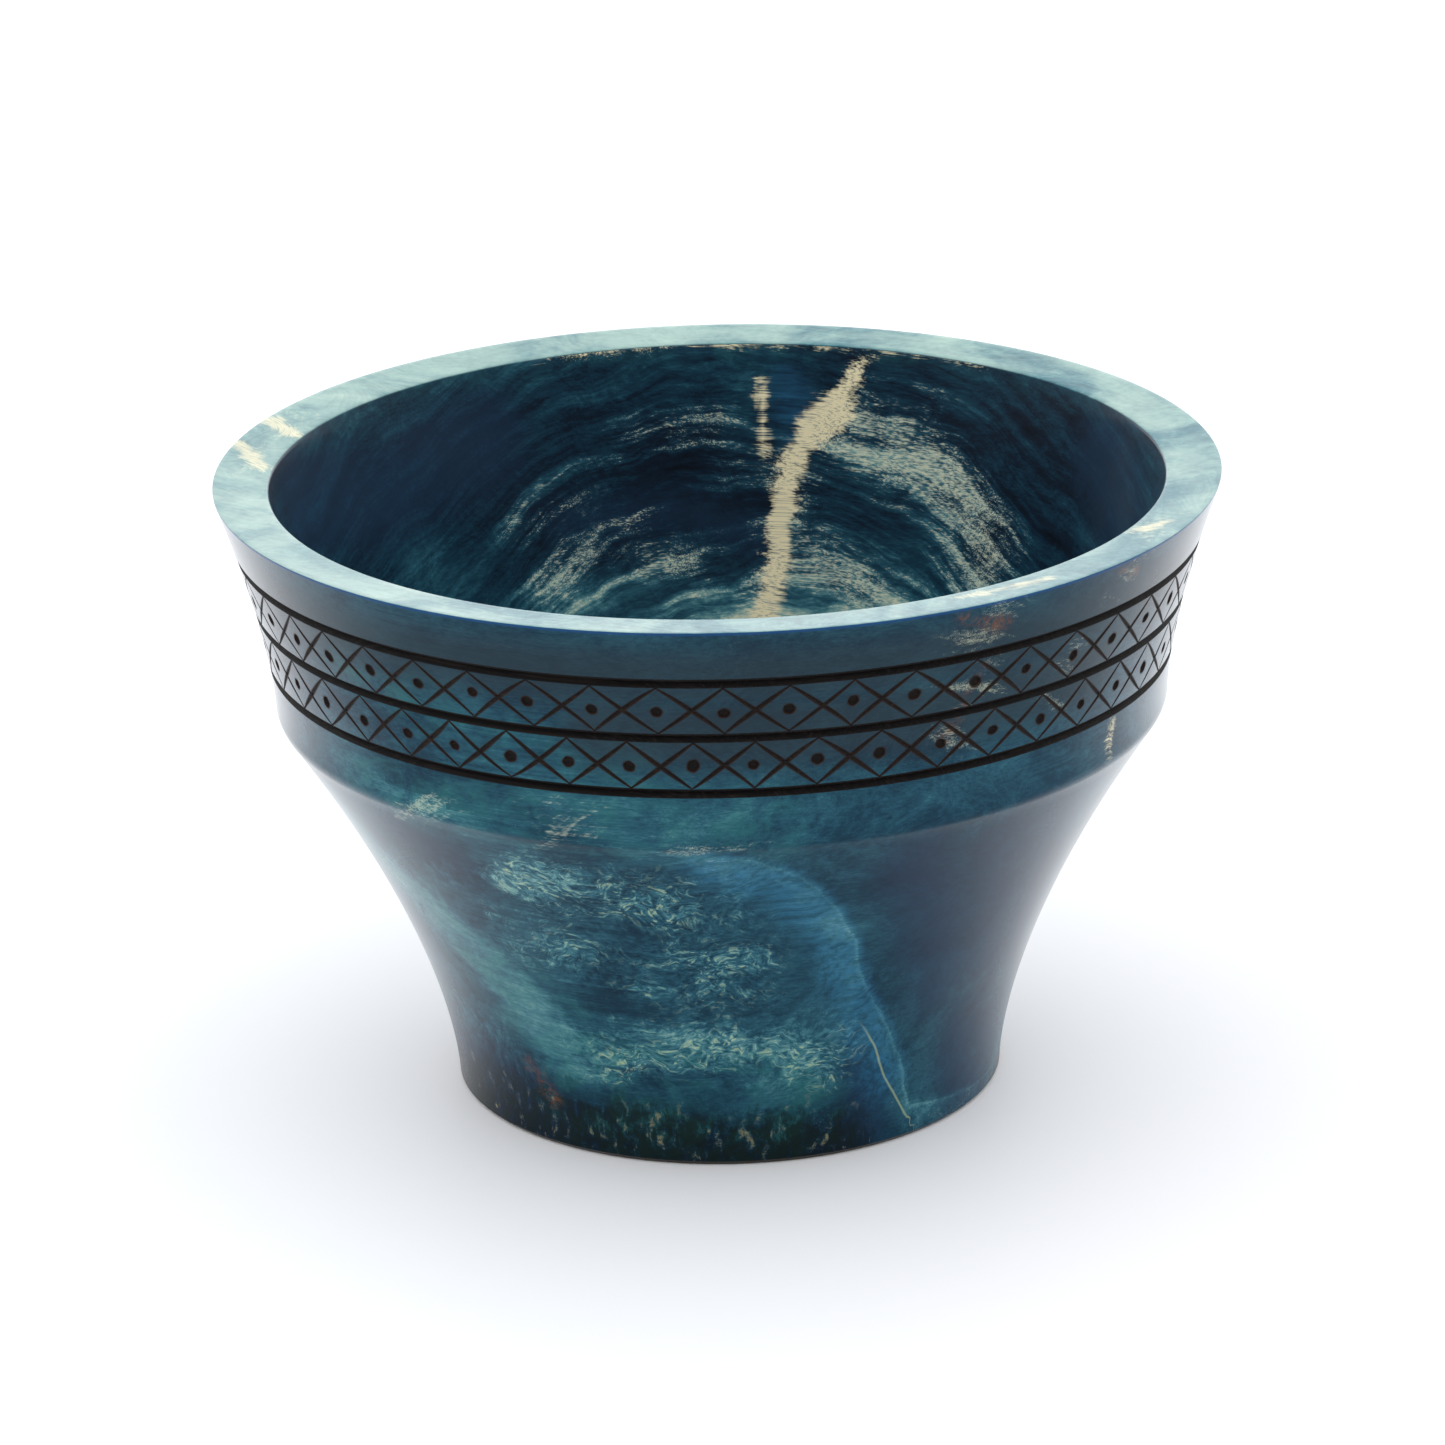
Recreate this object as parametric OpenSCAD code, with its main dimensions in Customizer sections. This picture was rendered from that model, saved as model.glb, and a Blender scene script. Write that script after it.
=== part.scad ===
/* [Bowl] */
// Diameter over the rim
rim_d = 180; // [165:1:200]
// Height from the base to the rim's outer edge
bowl_h = 114; // [106:1:124]
// Width of the rim's top face
rim_w = 10; // [8:0.5:12]
// Fall of the rim's top face from its outer edge to its inner edge
rim_fall = 0.9; // [0:0.1:1.5]
// Diameter of the foot
foot_d = 99; // [90:1:108]
// Thickness of the floor at the centre
floor_t = 12; // [9:0.5:15]
// Depth of the dished hollow under the base
dish_depth = 3; // [1.5:0.5:4]
// Width of the flat ring that the bowl stands on
stand_w = 8; // [6:1:12]

/* [Shoulder] */
// Height at which the waist starts to roll under
roll_z = 73.5; // [70:0.5:77]
// Diameter of the waist above the roll
waist_d = 160.6; // [156:0.2:164]
// Radius of the roll under the waist
roll_r = 4; // [3:0.5:5]
// Angle of the roll before it meets the crisp lower edge
roll_angle = 42; // [30:1:50]

/* [Grooves] */
// Distance from the rim down to the middle of the top groove
groove_drop = 10.2; // [8:0.2:12]
// Distance from the middle of one groove to the next
groove_pitch = 10.8; // [10:0.1:12]
// Width of a groove
groove_w = 1.8; // [1.4:0.1:2.4]
// Depth of a groove
groove_depth = 1.5; // [1:0.1:2]
// Thickness of the charred layer in a groove
char_t = 0.25; // [0.15:0.05:0.35]

/* [Burnt lattice] */
// Diamonds in one band
diamonds = 48; // [40:4:60]
// Width of a line at its widest
line_w = 0.7; // [0.5:0.05:0.9]
// Depth of a line at its deepest
line_depth = 0.45; // [0.4:0.05:0.6]
// How far the char in a line lies below the band at the middle of the line
line_char_drop = 0.25; // [0.25:0.01:0.3]
// Diameter of a dot
dot_d = 2.4; // [1.6:0.1:3]
// Depth of a dot
dot_depth = 0.9; // [0.7:0.1:1.2]
// How far the char in a dot lies below the band
dot_char_drop = 0.5; // [0.3:0.05:0.6]

/* [Hidden] */
$fn = 180;

wood_blue = [0.13, 0.30, 0.42];
char_black = [0.05, 0.04, 0.035];

rim_r = rim_d / 2;
foot_r = foot_d / 2;
waist_r = waist_d / 2;

// The crisp edge at the end of the roll
edge_r = waist_r - roll_r * (1 - cos(roll_angle));
edge_z = roll_z - roll_r * sin(roll_angle);

// Heights of the three grooves, from the rim down
groove_z = [for (i = [0:2]) bowl_h - groove_drop - i * groove_pitch];
upper_band = [groove_z[1] + groove_w / 2, groove_z[0] - groove_w / 2];
lower_band = [groove_z[2] + groove_w / 2, groove_z[1] - groove_w / 2];

// The wall flares above the waist and sweeps in below the edge, each as a power of the height
flare_power = 1.5;
sweep_power = 1.6;
foot_bevel = 0.8;

// The two bands and their dots start half a diamond apart
pitch_angle = 360 / diamonds;
lower_shift = 0.5;

// How far a line runs into the grooves at its ends, and how far its char stops short of them
line_overrun = 0.45;
line_end_gap = 0.15;

// A dot is burnt with the corner of a tip, so its wall is faceted
pit_sides = 12;

// How far a cutter reaches past the surface
past = 3;

function flare_r(z) = waist_r + (rim_r - waist_r) * pow((z - roll_z) / (bowl_h - roll_z), flare_power);
function sweep_r(z) = foot_r + (edge_r - foot_r) * pow(z / edge_z, sweep_power);
function mix(a, b, t) = a + (b - a) * t;
function middle(band) = (band[0] + band[1]) / 2;

// Points up the flare from one height to another
function flare(z0, z1, steps) = [for (i = [0:steps]) let (z = mix(z0, z1, i / steps)) [flare_r(z), z]];

// The bottom of a groove, or of the charred layer in it
function groove_bottom(z, cut) = [flare_r(z) - cut, z];

// The inside is one smooth curve from the rim's inner edge to the middle of the floor
inside_from = [rim_r - rim_w, bowl_h - rim_fall];
inside_steer_1 = [rim_r * 0.733, bowl_h * 0.544];
inside_steer_2 = [rim_r * 0.578, floor_t];
inside_to = [0, floor_t];
function inside(t) = pow(1 - t, 3) * inside_from + 3 * pow(1 - t, 2) * t * inside_steer_1
    + 3 * (1 - t) * pow(t, 2) * inside_steer_2 + pow(t, 3) * inside_to;

// Half of the bowl's section, from the foot up the outside and down the inside
outside_points = concat(
    [[0, 0], [foot_r - foot_bevel, 0]],
    [for (i = [0:24]) let (z = mix(foot_bevel, edge_z, i / 24)) [sweep_r(z), z]],
    [for (a = [roll_angle - 6:-6:0]) [waist_r - roll_r * (1 - cos(a)), roll_z - roll_r * sin(a)]],
    flare(roll_z + 1, groove_z[2] - groove_w / 2, 4),
    [groove_bottom(groove_z[2], groove_depth)],
    flare(lower_band[0], lower_band[1], 1),
    [groove_bottom(groove_z[1], groove_depth)],
    flare(upper_band[0], upper_band[1], 1),
    [groove_bottom(groove_z[0], groove_depth)],
    flare(groove_z[0] + groove_w / 2, bowl_h, 6)
);
inside_points = [for (i = [0:32]) inside(i / 32)];

// A bar along Z that cuts a V as deep as line_depth towards -X
module v_bar(length) {
    linear_extrude(height = length, center = true)
        polygon([
            [-line_depth, 0],
            [0, -line_w / 2],
            [past, -line_w / 2],
            [past, line_w / 2],
            [0, line_w / 2]
        ]);
}

// The char that fills the bottom of that V
module v_fill(length) {
    fill_w = line_w * (line_depth - line_char_drop) / line_depth;
    linear_extrude(height = length, center = true)
        polygon([
            [-line_depth, 0],
            [-line_char_drop, -fill_w / 2],
            [-line_char_drop, fill_w / 2]
        ]);
}

// Straight lines that all lean the same way round a band: side is 1 or -1. They are deepest
// in the middle, because the band is round. With overrun each ends just inside the grooves.
module lines(band, shift, side, overrun, filled) {
    low_r = flare_r(band[0]);
    high_r = flare_r(band[1]);
    mid_r = (low_r + high_r) / 2;
    lean = atan((high_r - low_r) / (band[1] - band[0]));
    slope_h = (band[1] - band[0]) / cos(lean);
    tilt = atan(2 * mid_r * tan(pitch_angle / 2) / slope_h);
    length = (slope_h + 2 * overrun) / cos(tilt);
    for (i = [0:diamonds - 1])
        rotate([0, 0, (i + shift + 0.5) * pitch_angle - 90])
            translate([mid_r, 0, middle(band)])
                rotate([0, lean, 0])
                    rotate([side * tilt, 0, 0])
                        if (filled) v_fill(length);
                        else v_bar(length);
}

// A straight pit in the middle of every diamond, between two depths below the band
module pits(band, shift, from, to) {
    mid_r = (flare_r(band[0]) + flare_r(band[1])) / 2;
    for (i = [0:diamonds - 1])
        rotate([0, 0, (i + shift) * pitch_angle - 90])
            translate([mid_r - to, 0, middle(band)])
                rotate([0, 90, 0])
                    cylinder(h = to - from, d = dot_d, $fn = pit_sides);
}

// The charred layer of a groove: both walls of the V, the same thickness all over
module groove_char(z) {
    wall_angle = atan((groove_w / 2) / groove_depth);
    lip = char_t / cos(wall_angle);
    low_z = z - groove_w / 2;
    high_z = z + groove_w / 2;
    color(char_black)
        rotate_extrude()
            polygon([
                [flare_r(low_z), low_z],
                [flare_r(low_z + lip), low_z + lip],
                groove_bottom(z, groove_depth - char_t / sin(wall_angle)),
                [flare_r(high_z - lip), high_z - lip],
                [flare_r(high_z), high_z],
                groove_bottom(z, groove_depth)
            ]);
}

// Char along the bottom of every line in a band; one set of lines runs through the other
module lattice_char(band, shift) {
    color(char_black) {
        lines(band, shift, 1, -line_end_gap, true);
        difference() {
            lines(band, shift, -1, -line_end_gap, true);
            lines(band, shift, 1, 0, false);
        }
    }
}

// Char in the bottom of every pit in a band
module dot_char(band, shift) {
    color(char_black)
        pits(band, shift, dot_char_drop, dot_depth);
}

// The turned bowl, with its grooves in the section and the lines and pits cut after
module bowl_body() {
    stand_r = foot_r - foot_bevel - stand_w;
    dish_r = (stand_r * stand_r + dish_depth * dish_depth) / (2 * dish_depth);
    color(wood_blue)
        difference() {
            rotate_extrude()
                polygon(concat(outside_points, inside_points));
            translate([0, 0, dish_depth - dish_r])
                sphere(r = dish_r);
            lines(upper_band, 0, -1, line_overrun, false);
            lines(upper_band, 0, 1, line_overrun, false);
            lines(lower_band, lower_shift, -1, line_overrun, false);
            lines(lower_band, lower_shift, 1, line_overrun, false);
            pits(upper_band, 0, -past, dot_depth);
            pits(lower_band, lower_shift, -past, dot_depth);
        }
}

bowl_body();
groove_char(groove_z[0]);  // top_groove_char
groove_char(groove_z[1]);  // middle_groove_char
groove_char(groove_z[2]);  // bottom_groove_char
lattice_char(upper_band, 0);  // upper_lattice_char
lattice_char(lower_band, lower_shift);  // lower_lattice_char
dot_char(upper_band, 0);  // upper_dot_char
dot_char(lower_band, lower_shift);  // lower_dot_char
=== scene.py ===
import math

import bmesh
import bpy
import numpy as np
from mathutils import Matrix, Vector


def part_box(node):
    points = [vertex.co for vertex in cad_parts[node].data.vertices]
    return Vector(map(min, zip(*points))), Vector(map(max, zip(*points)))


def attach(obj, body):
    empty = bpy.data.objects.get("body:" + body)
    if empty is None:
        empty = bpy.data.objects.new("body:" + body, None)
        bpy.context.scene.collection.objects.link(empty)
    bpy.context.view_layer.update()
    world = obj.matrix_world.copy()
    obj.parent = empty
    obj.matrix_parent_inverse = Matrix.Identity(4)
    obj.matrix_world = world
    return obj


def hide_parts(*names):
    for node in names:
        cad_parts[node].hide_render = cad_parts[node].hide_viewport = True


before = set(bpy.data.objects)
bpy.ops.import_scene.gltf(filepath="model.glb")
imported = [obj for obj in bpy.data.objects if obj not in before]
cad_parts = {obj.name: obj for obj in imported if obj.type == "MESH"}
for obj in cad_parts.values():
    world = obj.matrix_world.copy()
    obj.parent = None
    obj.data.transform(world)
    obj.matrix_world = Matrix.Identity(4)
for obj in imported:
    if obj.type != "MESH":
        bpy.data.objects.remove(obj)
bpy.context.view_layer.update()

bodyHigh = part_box("bowl_body")[1]
mm = 0.001


# Sizes of the turned form in metres; the rim and the height come from the CAD body
bowl = {
    "rimR": bodyHigh.x,
    "height": bodyHigh.z,
    "rimWidth": 10.0 * mm,
    "rimFall": 0.9 * mm,      # the rim's face falls this much towards the inside
    "edgeRound": 0.35 * mm,   # sanded edges of the rim
    "waistR": 80.3 * mm,
    "waistZ": 73.5 * mm,
    "flarePower": 1.5,
    "rollR": 4.0 * mm,
    "rollAngle": 42.0,
    "footR": 49.5 * mm,
    "footBevel": 0.8 * mm,
    "sweepPower": 1.6,
    "standWidth": 8.0 * mm,
    "dishDepth": 3.0 * mm,
    "floorT": 12.0 * mm,
    "insideSteer": (0.733, 0.544, 0.578),   # steering points of the inside, of the rim's size
    "columns": 320,
    # Points along each stretch of the section
    "rows": {"dish": 8, "sweep": 38, "roll": 9, "waist": 6, "flare": 7, "face": 10, "inside": 50},
}

# The three turned grooves, from the boxes of their charred layers
grooveNodes = ["bottom_groove_char", "middle_groove_char", "top_groove_char"]
groove = {
    "z": [(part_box(name)[0].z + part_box(name)[1].z) / 2 for name in grooveNodes],
    "half": (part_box("top_groove_char")[1].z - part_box("top_groove_char")[0].z) / 2,
    "depth": 1.5 * mm,
    "lining": 0.22 * mm,
    "lip": 0.12 * mm,         # width of the lining's edge at the groove's mouth
    "sink": 0.02 * mm,        # the lining's edges lie this far below the wood
    "inset": 0.01 * mm,       # and this far inside the mouth
    "tuck": 0.06 * mm,        # the back of the lining is this far inside the wood
}

# The burnt lattice: diamonds go round in equal steps and lines cross between two grooves
lattice = {
    "diamonds": 48,
    "sideSteps": 8,
    "lineHalf": 0.37 * mm,    # half the width of a line at its middle
    "endShare": 0.42,         # how much of that is left where a line runs out
    "vSlope": 1.25,           # depth of a line over its half width
    "lineWobble": 0.030,      # how far a line strays, in diamonds
    "dotR": 0.98 * mm,
    "dotDepth": 0.85 * mm,
    "dotWobble": 0.22 * mm,
    "dotRipple": 0.03,
    "upperShift": 0.0,
    "lowerShift": 0.5,
    "edgeBurn": 0.3,          # how browned the wood is along a groove's lip
}

spin = np.random.default_rng(20)


def flareR(z):
    # waist radius plus the spread to the rim times the height share to a power
    share = np.clip((z - bowl["waistZ"]) / (bowl["height"] - bowl["waistZ"]), 0, 1)
    return bowl["waistR"] + (bowl["rimR"] - bowl["waistR"]) * share ** bowl["flarePower"]


def rollArc(angle):
    # circle of the roll's radius that hangs from the waist, angle in degrees below it
    a = np.radians(angle)
    radius = bowl["waistR"] - bowl["rollR"] * (1 - np.cos(a))
    return np.stack([radius, bowl["waistZ"] - bowl["rollR"] * np.sin(a)], axis=1)


def sweepR(z):
    # foot radius plus the spread to the roll's lower edge times the height share to a power
    edge = rollArc(np.array([bowl["rollAngle"]]))[0]
    return bowl["footR"] + (edge[0] - bowl["footR"]) * (z / edge[1]) ** bowl["sweepPower"]


def insideCurve(t):
    # cubic curve from the rim's inner edge to the middle of the floor
    steerR1, steerZ1, steerR2 = bowl["insideSteer"]
    corners = np.array([
        [bowl["rimR"] - bowl["rimWidth"], bowl["height"] - bowl["rimFall"]],
        [bowl["rimR"] * steerR1, bowl["height"] * steerZ1],
        [bowl["rimR"] * steerR2, bowl["floorT"]],
        [0.0, bowl["floorT"]],
    ])
    t = t[:, None]
    weights = [(1 - t) ** 3, 3 * (1 - t) ** 2 * t, 3 * (1 - t) * t ** 2, t ** 3]
    return sum(weight * corner for weight, corner in zip(weights, corners))


def cornerArc(before, corner, after, radius, steps=4):
    # rounded corner: a parabola that leaves one side and lands on the other
    toBefore = (before - corner) / np.linalg.norm(before - corner)
    toAfter = (after - corner) / np.linalg.norm(after - corner)
    t = np.linspace(0, 1, steps)[:, None]
    start = corner + toBefore * radius
    end = corner + toAfter * radius
    return (1 - t) ** 2 * start + 2 * (1 - t) * t * corner + t ** 2 * end


def turned(profile, columns, startTurn=0.0):
    # every profile point (radius, height) carried round the axis: x = r sin a, y = -r cos a
    angle = (np.arange(columns) + startTurn) / columns * 2 * np.pi
    r = profile[:, 0][:, None]
    x = r * np.sin(angle)
    y = -r * np.cos(angle)
    z = np.broadcast_to(profile[:, 1][:, None], x.shape)
    return np.stack([x, y, z], axis=2)


def gridQuads(rows, columns, first, closed):
    # four corners of every cell of a grid whose columns may close into a ring
    i = np.arange(rows - 1)[:, None]
    j = np.arange(columns if closed else columns - 1)[None, :]
    k = (j + 1) % columns
    cells = [i * columns + j, i * columns + k, (i + 1) * columns + k, (i + 1) * columns + j]
    return first + np.stack(np.broadcast_arrays(*cells), axis=2).reshape(-1, 4)


def zipRings(turnA, turnB, firstA, firstB):
    # triangles between two rings of unlike spacing: each edge takes the other ring's vertex
    # that is passed when the edge's middle is reached
    middleA = (turnA + np.append(turnA[1:], turnA[0] + 1)) / 2
    middleB = (turnB + np.append(turnB[1:], turnB[0] + 1)) / 2
    a = np.arange(len(turnA))
    b = np.arange(len(turnB))
    apexB = np.searchsorted(middleB, middleA, side="right") % len(turnB)
    apexA = np.searchsorted(middleA, middleB) % len(turnA)
    fromA = np.stack([a + firstA, (a + 1) % len(turnA) + firstA, apexB + firstB], axis=1)
    fromB = np.stack([b + firstB, apexA + firstA, (b + 1) % len(turnB) + firstB], axis=1)
    return np.concatenate([fromA, fromB])


class Shell:
    # points, faces and one burn value per point, gathered before they become a mesh
    def __init__(self):
        self.points = []
        self.burns = []
        self.faces = []
        self.count = 0

    def add(self, points, burn=0.0):
        points = points.reshape(-1, 3)
        first = self.count
        self.points.append(points)
        self.burns.append(np.broadcast_to(burn, len(points)).astype(float))
        self.count += len(points)
        return first

    def addTurned(self, profile, columns, burn=0.0, closedSection=False):
        points = turned(profile, columns)
        first = self.add(points, np.repeat(np.broadcast_to(burn, len(profile)), columns))
        self.faces += gridQuads(len(profile), columns, first, True).tolist()
        if closedSection:
            last = first + (len(profile) - 1) * columns
            ring = np.arange(columns)
            step = (ring + 1) % columns
            seam = [last + ring, last + step, first + step, first + ring]
            self.faces += np.stack(seam, axis=1).tolist()
        return first

    def addPole(self, height, ringFirst, columns, up):
        pole = self.add(np.array([[0.0, 0.0, height]]))
        ring = np.arange(columns)
        step = (ring + 1) % columns
        a, b = (ring, step) if up else (step, ring)
        fan = [ringFirst + a, ringFirst + b, np.full(columns, pole)]
        self.faces += np.stack(fan, axis=1).tolist()


def drawBand(shift, low, high):
    # a band's size, and the strays of its lines and dots, drawn once
    count = lattice["diamonds"]
    rLow, rHigh = flareR(low), flareR(high)
    lean = math.atan2(rHigh - rLow, high - low)
    slope = (high - low) / math.cos(lean)
    pitch = 2 * math.pi * (rLow + rHigh) / 2 / count
    return {
        "shift": shift,
        "z": (low, high),
        "r": (rLow, rHigh),
        "lean": lean,
        "slope": slope,
        "pitch": pitch,
        "unit": 1 / math.hypot(1 / pitch, 1 / slope),   # metres across one step between lines
        "strayP": spin.normal(0, lattice["lineWobble"], count),
        "strayQ": spin.normal(0, lattice["lineWobble"], count),
        "widthP": spin.uniform(0.70, 1.05, count),
        "widthQ": spin.uniform(0.75, 1.15, count),
        "dotX": spin.normal(0, lattice["dotWobble"], count),
        "dotY": spin.normal(0, lattice["dotWobble"], count),
        "dotSize": spin.uniform(0.88, 1.1, count),
        "dotOval": spin.uniform(0, 0.1, count),
        "dotTurn": spin.uniform(0, 2 * np.pi, count),
    }


lipGap = groove["half"]
lowerBand = drawBand(lattice["lowerShift"], groove["z"][0] + lipGap, groove["z"][1] - lipGap)
upperBand = drawBand(lattice["upperShift"], groove["z"][1] + lipGap, groove["z"][2] - lipGap)


def bandPoints(band, u, v, depth):
    # u diamonds round, v from -1/2 to 1/2 up the band, depth below it; the lines' strays bend
    # the sheet between them and fade out up and down at the band's two edges
    count = lattice["diamonds"]
    lines = np.arange(count) + 0.5
    strayP = np.interp(u + v, lines, band["strayP"], period=count)
    strayQ = np.interp(u - v, lines, band["strayQ"], period=count)
    u = u + (strayP + strayQ) / 2
    v = v + (strayP - strayQ) / 2 * (1 - (2 * v) ** 2)
    turn = (u + band["shift"]) / count
    share = v + 0.5
    r = band["r"][0] + (band["r"][1] - band["r"][0]) * share - depth * math.cos(band["lean"])
    z = band["z"][0] + (band["z"][1] - band["z"][0]) * share + depth * math.sin(band["lean"])
    angle = turn * 2 * np.pi
    points = np.stack([r * np.sin(angle), -r * np.cos(angle), z], axis=-1)
    return points, turn % 1.0


def lineHalf(band, family, line, v):
    # half width of a line in lattice units: fades to endShare at both ends as a cosine
    own = band["width" + family][np.floor(line).astype(int) % lattice["diamonds"]]
    swell = np.cos(np.pi * np.clip(v, -0.5, 0.5))
    share = lattice["endShare"] + (1 - lattice["endShare"]) * swell * own
    return lattice["lineHalf"] / band["unit"] * share


def perimeter(sides):
    # points round a unit cell, counter-clockwise on the band: right, top, left, bottom corner
    steps = lattice["sideSteps"]
    t = np.arange(steps) / steps
    one = np.ones(steps)
    walks = [(one, 1 - 2 * t), (1 - 2 * t, -one), (-one, 2 * t - 1), (2 * t - 1, one)]
    a = np.concatenate([walks[side][0] for side in sides])
    b = np.concatenate([walks[side][1] for side in sides])
    if len(sides) == 2:
        endA, endB = {1: (-1.0, -1.0), 3: (1.0, 1.0)}[sides[-1]]
        a = np.append(a, endA)
        b = np.append(b, endB)
    return a, b


def squareRing(band, p0, q0, a, b, fraction):
    # ring at a fraction of the line's half width inside the cell's four lines
    v0 = (p0 - q0) / 2
    wPlusP = lineHalf(band, "P", p0 + 0.5, v0 + (1 - b) / 4)
    wMinusP = lineHalf(band, "P", p0 - 0.5, v0 + (-1 - b) / 4)
    wPlusQ = lineHalf(band, "Q", q0 + 0.5, v0 + (a - 1) / 4)
    wMinusQ = lineHalf(band, "Q", q0 - 0.5, v0 + (a + 1) / 4)
    p = p0 + a / 2 - fraction * (wPlusP * (1 + a) / 2 - wMinusP * (1 - a) / 2)
    q = q0 + b / 2 - fraction * (wPlusQ * (1 + b) / 2 - wMinusQ * (1 - b) / 2)
    onP = np.where(a > 0, wPlusP, wMinusP) * (np.abs(a) == 1)
    onQ = np.where(b > 0, wPlusQ, wMinusQ) * (np.abs(b) == 1)
    depth = np.maximum(onP, onQ) * band["unit"] * lattice["vSlope"] * max(0.0, 1 - fraction)
    return (p + q) / 2, (p - q) / 2, depth


def dotRing(band, i, a, b, share):
    # ring round a burnt pit at a share of its radius, slightly oval and off centre
    i = i[:, None]
    theta = np.arctan2((a - b) * band["slope"], (a + b) * band["pitch"])[None, :]
    index = i.astype(int) % lattice["diamonds"]
    oval = band["dotOval"][index] * np.cos(2 * theta + band["dotTurn"][index])
    ripple = lattice["dotRipple"] * np.cos(5 * theta + 2 * band["dotTurn"][index])
    r = lattice["dotR"] * band["dotSize"][index] * (1 + oval + ripple) * share
    x = r * np.cos(theta) + band["dotX"][index]
    y = r * np.sin(theta) + band["dotY"][index]
    return i + x / band["pitch"], y / band["slope"]


# Rings from the bottom of the lines inwards: fraction of the half width, burn value
lineRings = [(0.0, 1.0), (0.5, 1.0), (1.0, 1.0), (1.45, 0.45), (2.3, 0.0)]
# Rings of a pit inwards: share of its radius, share of its depth, burn value
dotRings = [
    (1.75, 0.0, 0.0), (1.25, 0.0, 0.5), (1.04, 0.0, 1.0),
    (0.95, 0.3, 1.0), (0.8, 0.75, 1.0), (0.4, 0.97, 1.0),
]


def ringQuads(low, high, cell, j, k):
    # quads between two rings of points, for every cell at once
    quads = np.stack([low + cell + j, low + cell + k, high + cell + k, high + cell + j], axis=2)
    return quads.reshape(-1, 4).tolist()


def addCells(shell, band, p0, q0, sides):
    # one cell for each pair of line numbers: rings follow the lines, then turn round the pit
    whole = len(sides) == 4
    a, b = perimeter(sides)
    p0, q0 = p0[:, None].astype(float), q0[:, None].astype(float)
    layers = []
    for fraction, burn in lineRings:
        u, v, depth = squareRing(band, p0, q0, a[None, :], b[None, :], fraction)
        layers.append((u, v, depth, burn))
    uIn, vIn, _, _ = layers[-1]
    if whole:
        for share, deep, burn in dotRings:
            u, v = dotRing(band, p0[:, 0], a, b, share)
            if share == dotRings[0][0]:
                layers.append(((u + uIn) / 2, (v + vIn) / 2, np.zeros_like(u), 0.0))
            layers.append((u, v, np.full_like(u, lattice["dotDepth"] * deep), burn))
        index = p0[:, 0].astype(int) % lattice["diamonds"]
        centreU = p0 + (band["dotX"][index] / band["pitch"])[:, None]
        centreV = (band["dotY"][index] / band["slope"])[:, None]
        centre = (centreU, centreV, np.full_like(centreU, lattice["dotDepth"]), 1.0)
    else:
        centreU, centreV = (p0 + q0) / 2, (p0 - q0) / 2
        layers.append(((centreU + uIn) / 2, (centreV + vIn) / 2, np.zeros_like(uIn), 0.0))
        centre = (centreU, centreV, np.zeros_like(centreU), 0.0)
    edges = []
    firsts = []
    for u, v, depth, burn in layers + [centre]:
        points, turn = bandPoints(band, u, v, depth)
        firsts.append(shell.add(points, burn))
        for sign in (-1, 1):
            onEdge = np.abs(v - sign * 0.5) < 1e-9
            side = np.full(onEdge.sum(), sign)
            edges.append(np.stack([side, turn[onEdge], depth[onEdge]], axis=1))
    cells, around = len(p0), len(a)
    cell = np.arange(cells)[:, None] * around
    j = np.arange(around if whole else around - 1)[None, :]
    k = (j + 1) % around
    for outer, inner in zip(firsts[:-2], firsts[1:-1]):
        shell.faces += ringQuads(outer, inner, cell, j, k)
    tip = np.broadcast_to(firsts[-1] + np.arange(cells)[:, None], (cells, j.shape[1]))
    fan = np.stack([firsts[-2] + cell + j, firsts[-2] + cell + k, tip], axis=2)
    shell.faces += fan.reshape(-1, 3).tolist()
    return np.concatenate(edges)


def addBand(shell, band):
    # whole diamonds in the middle, half ones along both edges; returns the two edge rings
    i = np.arange(lattice["diamonds"])
    edges = np.concatenate([
        addCells(shell, band, i, i, (0, 1, 2, 3)),
        addCells(shell, band, i + 1, i, (2, 3)),
        addCells(shell, band, i, i + 1, (0, 1)),
    ])
    turnSteps = 10 ** 7       # edge points closer than this share of a turn are one point
    rings = []
    for sign, share in ((-1, 0), (1, 1)):
        mine = edges[edges[:, 0] == sign]
        place = np.round(mine[:, 1] * turnSteps).astype(int) % turnSteps
        _, keep = np.unique(place, return_index=True)
        mine = mine[keep]
        mine = mine[np.argsort(mine[:, 1])]
        r = band["r"][share] - mine[:, 2] * math.cos(band["lean"])
        z = band["z"][share] + mine[:, 2] * math.sin(band["lean"])
        angle = mine[:, 1] * 2 * np.pi
        points = np.stack([r * np.sin(angle), -r * np.cos(angle), z], axis=1)
        rings.append((shell.add(points, lattice["edgeBurn"]), mine[:, 1]))
    return rings


def makeMesh(name, shell, smoothAngle=35.0):
    # merged, smooth-shaded mesh; edges sharper than the angle in degrees stay crisp
    mesh = bpy.data.meshes.new(name)
    mesh.from_pydata(np.concatenate(shell.points).tolist(), [], shell.faces)
    burn = mesh.attributes.new("burn", "FLOAT", "POINT")
    burn.data.foreach_set("value", np.concatenate(shell.burns))
    work = bmesh.new()
    work.from_mesh(mesh)
    bmesh.ops.remove_doubles(work, verts=work.verts, dist=0.001 * mm)
    work.to_mesh(mesh)
    work.free()
    mesh.shade_smooth()
    mesh.set_sharp_from_angle(angle=math.radians(smoothAngle))
    piece = bpy.data.objects.new(name, mesh)
    bpy.context.scene.collection.objects.link(piece)
    return piece


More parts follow.
